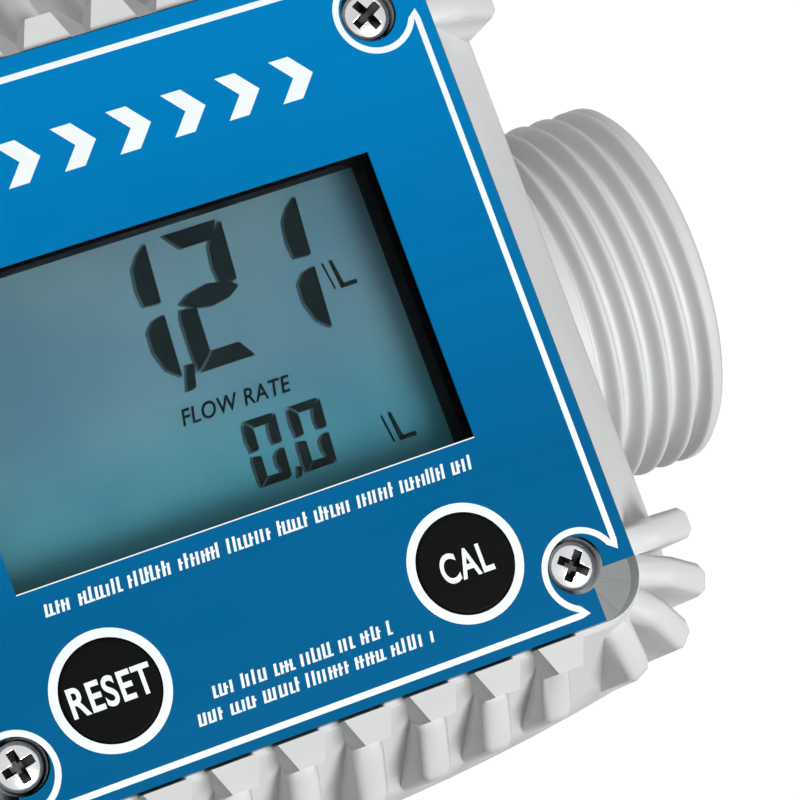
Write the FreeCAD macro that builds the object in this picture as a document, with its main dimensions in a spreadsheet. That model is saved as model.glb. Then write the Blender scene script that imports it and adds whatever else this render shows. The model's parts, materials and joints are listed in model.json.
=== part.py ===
"""Battery turbine flow meter with a square display, two push buttons and G1 ports.

FreeCAD 1.1 macro, millimetres.  The meter lies on its back: +X is the flow direction,
+Y is the top edge of the display and +Z points out of the display.  The origin is the
centre of the flat back.
"""

import FreeCAD, Part
import math
import os
import re
import Sketcher
from FreeCAD import Placement, Rotation, Vector

# Driving sizes, one spreadsheet cell each.
SIZES = {
    # whole meter
    "overall_length": 104.0,
    "face_height": 58.0,
    "flow_axis_height": 20.0,
    "running_gap": 0.05,
    "sliding_gap": 0.15,
    # clear front plate and its printed label
    "plate_side": 56.5,
    "plate_corner": 3.9,
    "plate_thick": 2.4,
    "label_thick": 0.15,
    "label_margin": 0.1,
    "label_notch": 0.85,
    # cover screws
    "screw_pitch": 46.5,
    "screw_recess_radius": 2.15,
    "screw_recess_depth": 1.4,
    "screw_hole_radius": 1.45,
    "screw_radius": 1.2,
    "screw_head_radius": 1.95,
    "screw_head_height": 1.25,
    "screw_length": 11.0,
    # moulded shell
    "rim_side": 57.4,
    "rim_corner": 4.3,
    "shell_half_length": 36.9,
    "shell_half_height": 36.2,
    "shell_crown": 170.0,
    "shell_corner": 9.4,
    "band_top": 42.0,
    "band_bottom": 34.0,
    "waist_height": 19.0,
    "hip_height": 8.0,
    "flare_inset": 0.2,
    "waist_inset": 2.8,
    "hip_inset": 7.2,
    "back_inset": 12.5,
    "waist_draft": 0.48,
    "hip_draft": 1.2,
    "back_draft": 2.4,
    # grip ribs round the shell
    "rib_thick": 2.6,
    "rib_pitch": 5.55,
    "rib_shift": 0.8,
    "rib_height": 2.4,
    "rib_shoulder_drop": 3.6,
    "rib_tip_inset": 4.85,
    "rib_band_inset": 0.3,
    "rib_bow": 50.0,
    "rib_chamfer": 0.6,
    "rib_shoulder_inset": 0.8,
    "fan_reach": 0.7,
    "fan_step": 21.5,
    "fan_drop": 0.5,
    "tooth_top_drop": 0.8,
    "tooth_height": 2.9,
    "tooth_root": 4.0,
    "tooth_tip": 2.1,
    "tooth_reach": 2.5,
    # threaded ports
    "thread_radius": 16.62,
    "thread_pitch": 2.309,
    "thread_depth": 1.48,
    "thread_crest": 0.5,
    "thread_root": 0.35,
    "thread_turns": 5,
    "port_land": 1.1,
    "port_chamfer": 0.5,
    "port_root": 8.0,
    "bore_radius": 11.5,
    "guide_bore_radius": 12.6,
    # display pocket
    "pocket_side": 50.0,
    "pocket_cut": 8.5,
    "board_ledge_drop": 8.65,
    "cell_bay_width": 28.0,
    "cell_bay_depth": 12.1,
    "gasket_offset": 0.5,
    "gasket_width": 1.1,
    "gasket_thick": 0.8,
    # display
    "window_length": 38.3,
    "window_height": 23.9,
    "window_rise": 0.78,
    "frame_wall": 3.3,
    "lcd_margin": 1.65,
    "lcd_drop": 2.85,
    "lcd_thick": 2.4,
    "connector_thick": 1.6,
    "connector_length": 36.0,
    "board_thick": 1.6,
    "board_screw_rise": 19.5,
    "board_screw_radius": 0.8,
    "board_screw_length": 6.0,
    "chip_side": 10.0,
    "chip_thick": 1.2,
    # push buttons
    "button_spread": 14.85,
    "button_drop": 20.25,
    "button_radius": 4.0,
    "button_proud": 0.1,
    "button_flange_radius": 4.4,
    "button_flange_thick": 1.0,
    "button_stem_radius": 2.2,
    "switch_side": 6.0,
    "switch_height": 3.4,
    "plunger_radius": 1.7,
    "plunger_length": 2.8,
    "button_travel": 0.6,
    # cells and their tray
    "cell_radius": 5.25,
    "cell_length": 44.5,
    "cell_spacing": 11.8,
    "cell_nub_radius": 1.9,
    "cell_nub_length": 0.8,
    "tray_length": 49.6,
    "tray_width": 25.8,
    "tray_height": 7.5,
    "tray_wall": 0.95,
    "contact_thick": 0.4,
    "contact_side": 7.0,
    "reed_radius": 1.0,
    "reed_length": 12.0,
    "reed_lead_radius": 0.25,
    "reed_lead_length": 3.0,
    # turbine
    "rotor_half_length": 9.0,
    "rotor_hub_radius": 4.6,
    "blade_radius": 11.1,
    "blade_half_length": 6.5,
    "blade_thick": 1.1,
    "blade_twist": 46.0,
    "shaft_radius": 1.0,
    "shaft_half_length": 16.0,
    "bearing_radius": 2.0,
    "bearing_length": 7.0,
    "bearing_play": 0.5,
    "magnet_radius": 1.1,
    "magnet_length": 5.0,
    "magnet_offset": 2.9,
    # flow guides and the rings that hold them
    "guide_seat": 12.0,
    "guide_length": 15.0,
    "guide_wall": 1.1,
    "guide_hub_radius": 4.8,
    "guide_vane_thick": 1.2,
    "ring_thick": 1.0,
    "ring_radius": 13.5,
    "ring_width": 1.7,
    "ring_opening": 7.0,
}

RIBS_PER_SIDE = 8
BLADES = 6
BLADE_SECTIONS = 7
FAN_STEPS = (0, 1, 2, 3)
EDGE_MARGIN = 0.001
SCREW_CORNERS = ((1, 1), (-1, 1), (-1, -1), (1, -1))

# Places worked out from the driving sizes.
DERIVED = {
    "plate_half": "plate_side / 2",
    "plate_top": "face_height - label_thick",
    "rim_top": "plate_top - plate_thick",
    "screw_half": "screw_pitch / 2",
    "corner_height": "(shell_half_height - shell_crown + sqrt((shell_crown - shell_corner) ^ 2"
                     " - (shell_half_length - shell_corner) ^ 2))",
    "port_end": "overall_length / 2",
    "pocket_half": "pocket_side / 2",
    "board_bottom": "rim_top - board_ledge_drop",
    "board_top": "board_bottom + board_thick",
    "pocket_floor": "board_bottom - cell_bay_depth",
    "board_half": "pocket_half - 2 * sliding_gap",
    "board_cut": "pocket_cut - 2 * sliding_gap * (2 - sqrt(2))",
    "lcd_top": "rim_top - lcd_drop",
    "lcd_bottom": "lcd_top - lcd_thick",
    "window_half_length": "window_length / 2",
    "window_half_height": "window_height / 2",
    "lcd_half_length": "window_half_length + lcd_margin",
    "lcd_half_height": "window_half_height + lcd_margin",
    "button_bottom": "board_top + switch_height + 1.2",
    "button_flange_top": "rim_top - running_gap",
    "button_top": "face_height + button_proud",
    "cell_half_gap": "cell_spacing / 2",
    "cell_height": "pocket_floor + tray_wall + cell_radius + sliding_gap",
    "tray_inner_half": "tray_length / 2 - tray_wall",
    "reed_height": "board_bottom - reed_radius",
    "guide_end": "guide_seat + guide_length",
    "tooth_top": "face_height - tooth_top_drop",
    "tooth_bottom": "tooth_top - tooth_height",
}

doc = FreeCAD.newDocument("turbine_flow_meter")
sheet = doc.addObject("Spreadsheet::Sheet", "sizes")
for row, (alias, number) in enumerate(SIZES.items(), start=1):
    sheet.set(f"A{row}", alias)
    sheet.set(f"B{row}", str(number))
    sheet.setAlias(f"B{row}", alias)
doc.recompute()

pieces = []


def formula(text):
    """Write a formula with plain size names as a FreeCAD expression."""
    def spell(match):
        name = match.group(0)
        if name in DERIVED:
            return "(" + formula(DERIVED[name]) + ")"
        return "sizes." + name if name in SIZES else name
    return re.sub(r"[a-z][a-z_]*", spell, str(text))


def number(text):
    """Evaluate such a formula now."""
    return float(sheet.evalExpression(formula(text)))


def bind(thing, **properties):
    """Bind properties of a document object to formulas."""
    for name, text in properties.items():
        thing.setExpression(name, formula(text))


def place(thing, x="0", y="0", z="0"):
    for axis, text in (("x", x), ("y", y), ("z", z)):
        thing.setExpression(f"Placement.Base.{axis}", formula(text))


def keep(thing, label):
    """Give a finished sub-part its label; the label names its file."""
    thing.Label = label
    pieces.append(thing)
    return thing


# ---------------------------------------------------------------- primitives and booleans

def box(name, x, y, z):
    """A box from (low, high) formulas along each axis."""
    solid = doc.addObject("Part::Box", name)
    bind(solid, Length=f"({x[1]}) - ({x[0]})", Width=f"({y[1]}) - ({y[0]})",
         Height=f"({z[1]}) - ({z[0]})")
    place(solid, x[0], y[0], z[0])
    return solid


AXIS_TURN = {
    "x": Rotation(Vector(0, 1, 0), 90),
    "y": Rotation(Vector(1, 0, 0), -90),
    "z": Rotation(),
}


def cylinder(name, radius, axis, start, end, centre):
    """A cylinder along an axis, from start to end; centre is its place across that axis."""
    solid = doc.addObject("Part::Cylinder", name)
    bind(solid, Radius=radius, Height=f"({end}) - ({start})")
    solid.Placement = Placement(Vector(), AXIS_TURN[axis])
    across = [letter for letter in "xyz" if letter != axis]
    place(solid, **{axis: start, across[0]: centre[0], across[1]: centre[1]})
    return solid


def tube(name, outer, inner, axis, start, end, centre):
    wall = cylinder(name + "_wall", outer, axis, start, end, centre)
    hole = cylinder(name + "_hole", inner, axis, f"{start} - 1", f"{end} + 1", centre)
    return cut(name, wall, [hole])


def fuse(name, solids):
    joined = doc.addObject("Part::MultiFuse", name)
    joined.Shapes = solids
    return joined


def common(name, solids):
    shared = doc.addObject("Part::MultiCommon", name)
    shared.Shapes = solids
    return shared


def cut(name, base, tools):
    result = doc.addObject("Part::Cut", name)
    result.Base = base
    result.Tool = tools[0] if len(tools) == 1 else fuse(name + "_tools", tools)
    return result


# ---------------------------------------------------------------- sketches and bodies

def new_body(name):
    return doc.addObject("PartDesign::Body", name)


def sketch(body, name, plane, offset="0"):
    """A sketch on one of the body's own origin planes, moved along its normal."""
    drawing = body.newObject("Sketcher::SketchObject", name)
    support = [item for item in body.Origin.OriginFeatures if item.Role == plane][0]
    drawing.AttachmentSupport = [(support, "")]
    drawing.MapMode = "FlatFace"
    drawing.setExpression("AttachmentOffset.Base.z", formula(offset))
    return drawing


def pin_point(drawing, edge, end, x, y):
    """Tie a sketch point to formulas for its two coordinates."""
    for kind, text, axis in (("DistanceX", x, -2), ("DistanceY", y, -1)):
        if text == "0":
            drawing.addConstraint(Sketcher.Constraint("PointOnObject", edge, end, axis))
            continue
        index = drawing.addConstraint(
            Sketcher.Constraint(kind, -1, 1, edge, end, number(text)))
        drawing.setExpression(f"Constraints[{index}]", formula(text))


def arc_between(start, end, radius):
    """The minor arc from start to end, anticlockwise about its centre."""
    chord = end - start
    left = Vector(-chord.y, chord.x, 0).normalize()
    rise = math.sqrt(radius ** 2 - (chord.Length / 2) ** 2)
    centre = (start + end) / 2 + left * rise
    angles = [math.atan2(p.y - centre.y, p.x - centre.x) for p in (start, end)]
    return Part.ArcOfCircle(Part.Circle(centre, Vector(0, 0, 1), radius), *angles)


def profile(drawing, points, arcs=None):
    """A closed outline through points given as formulas.

    arcs gives, for the edge that leaves a point, the radius formula of its arc; a leading
    minus sign makes that arc hollow instead of round on an anticlockwise outline.
    """
    arcs = arcs or {}
    corners = [Vector(number(x), number(y), 0) for x, y in points]
    first = drawing.GeometryCount
    ends = []
    for index, start in enumerate(corners):
        end = corners[(index + 1) % len(corners)]
        if index not in arcs:
            drawing.addGeometry(Part.LineSegment(start, end))
            ends.append((1, 2))
            continue
        radius = arcs[index]
        hollow = radius.startswith("-")
        run = (end, start) if hollow else (start, end)
        drawing.addGeometry(arc_between(*run, number(radius.lstrip("-"))))
        ends.append((2, 1) if hollow else (1, 2))
    for index in range(len(points)):
        following = (index + 1) % len(points)
        drawing.addConstraint(Sketcher.Constraint(
            "Coincident", first + index, ends[index][1], first + following, ends[following][0]))
    for index, (x, y) in enumerate(points):
        pin_point(drawing, first + index, ends[index][0], x, y)
    for index, radius in arcs.items():
        text = radius.lstrip("-")
        place_in_list = drawing.addConstraint(
            Sketcher.Constraint("Radius", first + index, number(text)))
        drawing.setExpression(f"Constraints[{place_in_list}]", formula(text))
    return drawing


def circle(drawing, x, y, radius):
    edge = drawing.addGeometry(
        Part.Circle(Vector(number(x), number(y), 0), Vector(0, 0, 1), number(radius)))
    pin_point(drawing, edge, 3, x, y)
    index = drawing.addConstraint(Sketcher.Constraint("Radius", edge, number(radius)))
    drawing.setExpression(f"Constraints[{index}]", formula(radius))


def rounded_square(drawing, half, corner):
    """A square with rounded corners, edge for edge like crowned_outline."""
    flat = f"{half} - {corner}"
    points = [(half, f"-({flat})"), (half, flat), (flat, half), (f"-({flat})", half),
              (f"-({half})", flat), (f"-({half})", f"-({flat})"), (f"-({flat})", f"-({half})"),
              (flat, f"-({half})")]
    return profile(drawing, points, {1: corner, 3: corner, 5: corner, 7: corner})


def crowned_outline(drawing, half_length, half_height, crown, corner):
    """Straight sides, gently arched top and bottom, round corners tangent to both."""
    corner_x = f"({half_length} - {corner})"
    reach = f"({crown} - {corner})"
    rise = f"sqrt({reach} ^ 2 - {corner_x} ^ 2)"
    side = f"({half_height} - {crown} + {rise})"
    join_x = f"({corner_x} * {crown} / {reach})"
    join_y = f"({half_height} - {crown} + {rise} * {crown} / {reach})"
    points = [(half_length, f"-{side}"), (half_length, side), (join_x, join_y),
              (f"-{join_x}", join_y), (f"-({half_length})", side),
              (f"-({half_length})", f"-{side}"), (f"-{join_x}", f"-{join_y}"),
              (join_x, f"-{join_y}")]
    return profile(drawing, points, {1: corner, 2: crown, 3: corner, 5: corner, 6: crown, 7: corner})


def octagon(drawing, half, corner_cut):
    flat = f"({half} - ({corner_cut}))"
    points = [(half, f"-{flat}"), (half, flat), (flat, half), (f"-{flat}", half),
              (f"-({half})", flat), (f"-({half})", f"-{flat}"), (f"-{flat}", f"-({half})"),
              (flat, f"-({half})")]
    return profile(drawing, points)


def rectangle(drawing, x, y):
    """A rectangle from (low, high) formulas."""
    return profile(drawing, [(x[0], y[0]), (x[1], y[0]), (x[1], y[1]), (x[0], y[1])])


def feature(body, kind, name, drawing, **properties):
    made = body.newObject("PartDesign::" + kind, name)
    made.Profile = drawing
    drawing.Visibility = False
    bind(made, **properties)
    body.Tip = made
    return made


def pad(body, name, drawing, length):
    return feature(body, "Pad", name, drawing, Length=length)


def pocket(body, name, drawing, length):
    return feature(body, "Pocket", name, drawing, Length=length)


def revolve(body, name, drawing, axis="H_Axis"):
    made = feature(body, "Revolution", name, drawing)
    made.ReferenceAxis = (drawing, [axis])
    made.Angle = 360
    return made


def loft(body, name, drawings, ruled):
    made = body.newObject("PartDesign::AdditiveLoft", name)
    made.Profile = drawings[0]
    made.Sections = drawings[1:]
    made.Ruled = ruled
    body.Tip = made
    return made


def extrusion(name, drawing, length):
    """A plain Part extrusion of a sketch along +Z; it may hold several separate solids."""
    made = doc.addObject("Part::Extrusion", name)
    made.Base = drawing
    made.DirMode = "Custom"
    made.Dir = Vector(0, 0, 1)
    made.Solid = True
    bind(made, LengthFwd=length)
    return made


# ---------------------------------------------------------------- moulded meter body

def shell_front():
    """The flare from the display rim down to the shell's widest band, edge for edge."""
    body = new_body("core_front")
    rim = sketch(body, "core_front_rim", "XY_Plane", "rim_top")
    rounded_square(rim, "(rim_side / 2)", "rim_corner")
    flare = sketch(body, "core_front_flare", "XY_Plane", "band_top")
    crowned_outline(flare, "(shell_half_length - flare_inset)", "(shell_half_height - flare_inset)",
                    "shell_crown", "shell_corner")
    band = sketch(body, "core_front_band", "XY_Plane", "band_bottom")
    crowned_outline(band, "shell_half_length", "shell_half_height", "shell_crown", "shell_corner")
    loft(body, "core_front_loft", [rim, flare, band], ruled=True)
    return body


def shell_back():
    """The barrel behind the band: it rounds in to the flat back, and its ribs stand on it."""
    body = new_body("core_back")
    sections = []
    for title, height, draw_in, draft in (("top", "band_bottom", "0", "0"),
                                          ("waist", "waist_height", "waist_inset", "waist_draft"),
                                          ("hip", "hip_height", "hip_inset", "hip_draft"),
                                          ("flat", "0", "back_inset", "back_draft")):
        drawing = sketch(body, f"core_back_{title}", "XY_Plane", height)
        crowned_outline(drawing, f"(shell_half_length - {draft})",
                        f"(shell_half_height - rib_height - {draw_in})", "shell_crown",
                        "shell_corner")
        sections.append(drawing)
    loft(body, "core_back_barrel", sections, ruled=False)
    return body


def rib_position(index):
    return f"({index} - {(RIBS_PER_SIDE - 1) / 2}) * rib_pitch + rib_shift"


def build_rib(name, inner, reach, turn, x, y):
    """One rib on its own outline, in the plane through (x, y) turned from +X, edges eased."""
    body = new_body(name)
    drawing = sketch(body, name + "_outline", "XZ_Plane")
    points = [(inner, "0"),
              (f"{reach} - back_inset", "0"),
              (f"{reach} - rib_band_inset", "band_bottom"),
              (f"{reach} - rib_shoulder_inset", "tooth_bottom - rib_shoulder_drop"),
              (f"{reach} - rib_tip_inset", "tooth_bottom"),
              (inner, "tooth_bottom")]
    profile(drawing, points, {1: "rib_bow"})
    plate = pad(body, name + "_pad", drawing, "rib_thick")
    plate.SideType = "Symmetric"
    doc.recompute()
    eased = body.newObject("PartDesign::Chamfer", name + "_eased")
    eased.Base = (plate, [f"Edge{index}" for index, edge in enumerate(plate.Shape.Edges, start=1)
                            if edge.BoundBox.XMax > number(inner) + EDGE_MARGIN
                            and edge.BoundBox.ZMax > EDGE_MARGIN])
    bind(eased, Size="rib_chamfer")
    body.Tip = eased
    body.setExpression("Placement.Rotation.Angle", formula(turn))
    body.Placement.Rotation = Rotation(Vector(0, 0, 1), number(turn))
    place(body, x, y)
    return body


def row_ribs():
    """A row of ribs along the top and the bottom of the shell, as far out as its crown."""
    ribs = []
    for side, title in ((1, "upper"), (-1, "lower")):
        for index in range(RIBS_PER_SIDE):
            middle = f"({rib_position(index)})"
            reach = f"(shell_half_height - shell_crown + sqrt(shell_crown ^ 2 - {middle} ^ 2))"
            ribs.append(build_rib(f"{title}_rib_{index}", "(plate_half / 2)", reach,
                                  f"({side} * 90)", middle, "0"))
    return ribs


def fan_ribs():
    """A fan of ribs about each cover screw, as far out as the shell's rounded corner."""
    ribs = []
    along_x = "(shell_half_length + fan_reach - shell_corner - screw_half)"
    along_y = "(corner_height - screw_half + fan_drop)"
    for corner, (side_x, side_y) in enumerate(SCREW_CORNERS):
        for step in FAN_STEPS:
            angle = f"({step} * fan_step * 1deg)"
            ahead = f"({along_x} * cos({angle}) + {along_y} * sin({angle}))"
            aside = f"({along_x} * sin({angle}) - {along_y} * cos({angle}))"
            reach = f"({ahead} + sqrt(shell_corner ^ 2 - {aside} ^ 2))"
            turn = f"({side_x * side_y * step} * fan_step + {0 if side_x > 0 else 180})"
            ribs.append(build_rib(f"fan_{corner}_{step}", "(0 - rib_thick)", reach, turn,
                                  f"{side_x} * screw_half", f"{side_y} * (screw_half - fan_drop)"))
    return ribs


def front_teeth():
    """Short tapered teeth that frame the front plate along its top and bottom edges."""
    drawing = doc.addObject("Sketcher::SketchObject", "teeth_outline")
    drawing.setExpression("Placement.Base.z", formula("tooth_bottom - 1"))
    inner = "(plate_half + sliding_gap)"
    outer = "(plate_half + tooth_reach)"
    for side in (-1, 1):
        for index in range(RIBS_PER_SIDE):
            middle = rib_position(index)
            points = [(f"{middle} - tooth_root / 2", f"{side} * {inner}"),
                      (f"{middle} - tooth_tip / 2", f"{side} * {outer}"),
                      (f"{middle} + tooth_tip / 2", f"{side} * {outer}"),
                      (f"{middle} + tooth_root / 2", f"{side} * {inner}")]
            profile(drawing, points)
    return extrusion("teeth", drawing, "tooth_height + 1")


def threaded_port(side):
    """One G1 port: a turned blank with a row of thread grooves and a chamfered mouth."""
    name = "outlet_port" if side > 0 else "inlet_port"
    body = new_body(name)
    drawing = sketch(body, name + "_outline", "XZ_Plane")
    crest = "thread_radius"
    root = "(thread_radius - thread_depth)"
    flank = "((thread_pitch - thread_crest - thread_root) / 2)"
    points = [("port_end", "0"), ("port_end", f"{crest} - port_chamfer"),
              ("port_end - port_chamfer", crest)]
    for turn in range(int(SIZES["thread_turns"])):
        edge = f"(port_end - port_land - {turn} * thread_pitch)"
        points += [(edge, crest), (f"{edge} - {flank}", root),
                   (f"{edge} - {flank} - thread_root", root),
                   (f"{edge} - 2 * {flank} - thread_root", crest)]
    points += [("shell_half_length - port_root", crest), ("shell_half_length - port_root", "0")]
    profile(drawing, [(f"{side} * ({x})", y) for x, y in points])
    revolve(body, name + "_turned", drawing)
    place(body, z="flow_axis_height")
    return body


def build_meter_body():
    core = fuse("shell_core", [shell_front(), shell_back()])
    outside = fuse("outside", [core, front_teeth(), threaded_port(1), threaded_port(-1)]
                   + row_ribs() + fan_ribs())
    return cut("body_machined", outside, body_cavities())


def body_cavities():
    """Flow bore, guide bores, ring grooves, display pocket, gasket groove and screw holes."""
    axis = ("0", "flow_axis_height")
    cavities = [cylinder("flow_bore", "bore_radius", "x", "-port_end - 1", "port_end + 1", axis)]
    for side, title in ((1, "outlet"), (-1, "inlet")):
        near, far = "guide_seat", "port_end + 1"
        groove = ("guide_end", "guide_end + ring_thick + running_gap")
        if side < 0:
            near, far = "-port_end - 1", "-guide_seat"
            groove = ("-guide_end - ring_thick - running_gap", "-guide_end")
        cavities.append(cylinder(title + "_guide_bore", "guide_bore_radius", "x", near, far, axis))
        cavities.append(cylinder(title + "_ring_groove", "ring_radius + running_gap", "x",
                                 groove[0], groove[1], axis))
    well = new_body("display_well")
    drawing = octagon(sketch(well, "display_well_outline", "XY_Plane", "board_bottom"),
                      "pocket_half", "pocket_cut")
    pad(well, "display_well_pad", drawing, "rim_top - board_bottom + 1")
    cavities.append(well)
    cavities.append(box("cell_bay", ("-pocket_half", "pocket_half"),
                        ("-cell_bay_width / 2", "cell_bay_width / 2"),
                        ("pocket_floor", "board_bottom + 1")))
    cavities.append(gasket_ring("gasket_groove", "rim_top - gasket_thick", "gasket_thick + 1"))
    for index, (side_x, side_y) in enumerate(SCREW_CORNERS):
        cavities.append(cylinder(f"cover_screw_hole_{index}", "screw_radius + running_gap", "z",
                                 "rim_top - screw_length", "rim_top + 1",
                                 (f"{side_x} * screw_half", f"{side_y} * screw_half")))
    for side in (-1, 1):
        cavities.append(cylinder(f"board_screw_hole_{'lower' if side < 0 else 'upper'}",
                                 "board_screw_radius + running_gap", "z",
                                 "board_bottom - board_screw_length", "board_bottom + 1",
                                 ("0", f"{side} * board_screw_rise")))
    return cavities


def gasket_ring(name, bottom, height):
    """The seal's eight-sided ring, which follows the display well's edge."""
    body = new_body(name)
    drawing = sketch(body, name + "_outline", "XY_Plane", bottom)
    for offset in ("gasket_offset", "(gasket_offset + gasket_width)"):
        octagon(drawing, f"(pocket_half + {offset})", f"pocket_cut + {offset} * (2 - sqrt(2))")
    pad(body, name + "_pad", drawing, height)
    return body


# ---------------------------------------------------------------- cover, label and screws

def screw_places():
    return [(f"{side_x} * screw_half", f"{side_y} * screw_half") for side_x, side_y in SCREW_CORNERS]


def button_places():
    return [("-button_spread", "-button_drop"), ("button_spread", "-button_drop")]


def build_front_cover():
    body = new_body("cover_plate")
    drawing = rounded_square(sketch(body, "cover_outline", "XY_Plane", "rim_top"),
                             "plate_half", "plate_corner")
    pad(body, "cover_pad", drawing, "plate_thick")
    holes = sketch(body, "cover_holes", "XY_Plane", "plate_top")
    for x, y in screw_places():
        circle(holes, x, y, "screw_hole_radius")
    for x, y in button_places():
        circle(holes, x, y, "button_radius + sliding_gap")
    pocket(body, "cover_holes_cut", holes, "plate_thick")
    recesses = sketch(body, "cover_recesses", "XY_Plane", "plate_top")
    for x, y in screw_places():
        circle(recesses, x, y, "screw_recess_radius")
    pocket(body, "cover_recess_cut", recesses, "screw_recess_depth")
    return body


def build_label():
    """Printed film: open at the window, the buttons and the four screwed corners."""
    half = "(plate_half - label_margin)"
    film = new_body("label_film")
    drawing = rounded_square(sketch(film, "label_outline", "XY_Plane", "plate_top"),
                             half, "(plate_corner - label_margin)")
    pad(film, "label_pad", drawing, "label_thick")
    openings = sketch(film, "label_openings", "XY_Plane", "face_height")
    rectangle(openings, ("-window_half_length", "window_half_length"),
              ("window_rise - window_half_height", "window_rise + window_half_height"))
    for x, y in button_places():
        circle(openings, x, y, "button_radius + sliding_gap")
    pocket(film, "label_openings_cut", openings, "label_thick")
    notches = []
    for index, (side_x, side_y) in enumerate(SCREW_CORNERS):
        reach_x = (f"{side_x} * (screw_half + label_notch)", f"{side_x} * (plate_half + 1)")
        reach_y = (f"{side_y} * (screw_half + label_notch)", f"{side_y} * (plate_half + 1)")
        notches.append(box(f"label_notch_{index}", reach_x if side_x > 0 else reach_x[::-1],
                           reach_y if side_y > 0 else reach_y[::-1],
                           ("plate_top - 1", "face_height + 1")))
        notches.append(cylinder(f"label_eye_{index}", "screw_recess_radius + sliding_gap", "z",
                                "plate_top - 1", "face_height + 1", screw_places()[index]))
    return cut("label_cut", film, notches)


def build_cover_screws():
    """Four self-tapping pan heads, drawn as one turned screw at each corner."""
    screws = []
    seat = "(plate_top - screw_recess_depth)"
    for index, (x, y) in enumerate(screw_places()):
        head = cylinder(f"screw_head_{index}", "screw_head_radius", "z", seat,
                        f"{seat} + screw_head_height", (x, y))
        shank = cylinder(f"screw_shank_{index}", "screw_radius", "z",
                         "rim_top - screw_length + 1", f"{seat} + screw_head_height / 2", (x, y))
        screws.append(fuse(f"cover_screw_{index}", [head, shank]))
    return fuse("cover_screw_set", screws)


# ---------------------------------------------------------------- display stack

def build_lcd_frame():
    frame = box("frame_block",
                ("-window_half_length - frame_wall", "window_half_length + frame_wall"),
                ("window_rise - window_half_height - frame_wall",
                 "window_rise + window_half_height + frame_wall"),
                ("board_top", "rim_top"))
    window = box("frame_window", ("-window_half_length", "window_half_length"),
                 ("window_rise - window_half_height", "window_rise + window_half_height"),
                 ("lcd_bottom", "rim_top + 1"))
    seat = box("frame_seat",
               ("-lcd_half_length - sliding_gap", "lcd_half_length + sliding_gap"),
               ("window_rise - lcd_half_height - sliding_gap",
                "window_rise + lcd_half_height + sliding_gap"),
               ("board_top - 1", "lcd_top"))
    return cut("frame_cut", frame, [window, seat])


def build_lcd_glass():
    return box("glass_block", ("-lcd_half_length", "lcd_half_length"),
               ("window_rise - lcd_half_height", "window_rise + lcd_half_height"),
               ("lcd_bottom", "lcd_top"))


def build_lcd_connectors():
    strips = []
    for side, title in ((-1, "lower"), (1, "upper")):
        outer = f"window_rise + {side} * lcd_half_height"
        inner = f"window_rise + {side} * (lcd_half_height - connector_thick)"
        strips.append(box(f"connector_{title}", ("-connector_length / 2", "connector_length / 2"),
                          (outer, inner) if side < 0 else (inner, outer),
                          ("board_top", "lcd_bottom")))
    return fuse("connector_pair", strips)


def build_circuit_board():
    body = new_body("board")
    drawing = sketch(body, "board_outline", "XY_Plane", "board_bottom")
    octagon(drawing, "board_half", "board_cut")
    for side in (-1, 1):
        circle(drawing, "0", f"{side} * board_screw_rise", "board_screw_radius + 3 * running_gap")
    pad(body, "board_pad", drawing, "board_thick")
    return body


def build_board_screws():
    screws = []
    for side, title in ((-1, "lower"), (1, "upper")):
        centre = ("0", f"{side} * board_screw_rise")
        head = cylinder(f"board_screw_head_{title}", "2 * board_screw_radius", "z",
                        "board_top", "board_top + 1.2", centre)
        shank = cylinder(f"board_screw_shank_{title}", "board_screw_radius", "z",
                         "board_bottom - board_screw_length + 1", "board_top + 0.6", centre)
        screws.append(fuse(f"board_screw_{title}", [head, shank]))
    return fuse("board_screw_pair", screws)


def build_display_driver():
    return box("driver_chip", ("-chip_side / 2", "chip_side / 2"), ("-chip_side / 2", "chip_side / 2"),
               ("board_top", "board_top + chip_thick"))


def build_switch(title, x):
    centre = (x, "-button_drop")
    case = box(f"{title}_switch_case", (f"{x} - switch_side / 2", f"{x} + switch_side / 2"),
               ("-button_drop - switch_side / 2", "-button_drop + switch_side / 2"),
               ("board_top", "board_top + switch_height"))
    well = cylinder(f"{title}_switch_well", "plunger_radius + running_gap", "z",
                    "button_bottom - plunger_length - button_travel - 4 * running_gap",
                    "board_top + switch_height + 1", centre)
    return cut(f"{title}_switch_cut", case, [well])


def build_plunger(title, x):
    return cylinder(f"{title}_plunger_pin", "plunger_radius", "z", "button_bottom - plunger_length",
                    "button_bottom", (x, "-button_drop"))


def build_button(title, x):
    """Turned cap with a retaining flange under the plate and a short stem."""
    body = new_body(f"{title}_cap")
    drawing = sketch(body, f"{title}_cap_outline", "XZ_Plane")
    flange_bottom = "(button_flange_top - button_flange_thick)"
    points = [("0", "button_bottom"), ("button_stem_radius", "button_bottom"),
              ("button_stem_radius", flange_bottom), ("button_flange_radius", flange_bottom),
              ("button_flange_radius", "button_flange_top"), ("button_radius", "button_flange_top"),
              ("button_radius", "button_top - 0.3"), ("button_radius - 0.3", "button_top"),
              ("0", "button_top")]
    profile(drawing, points, {6: "0.3"})
    revolve(body, f"{title}_cap_turned", drawing, "V_Axis")
    place(body, x, "-button_drop")
    return body


# ---------------------------------------------------------------- cells and sensor

def build_cell_tray():
    block = box("tray_block", ("-tray_length / 2", "tray_length / 2"),
                ("-tray_width / 2", "tray_width / 2"),
                ("pocket_floor", "pocket_floor + tray_height"))
    troughs = [cylinder(f"tray_trough_{side}", "cell_radius + sliding_gap", "x",
                        "-tray_inner_half", "tray_inner_half",
                        (f"{side} * cell_half_gap", "cell_height")) for side in (-1, 1)]
    return cut("tray_cut", block, troughs)


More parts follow.
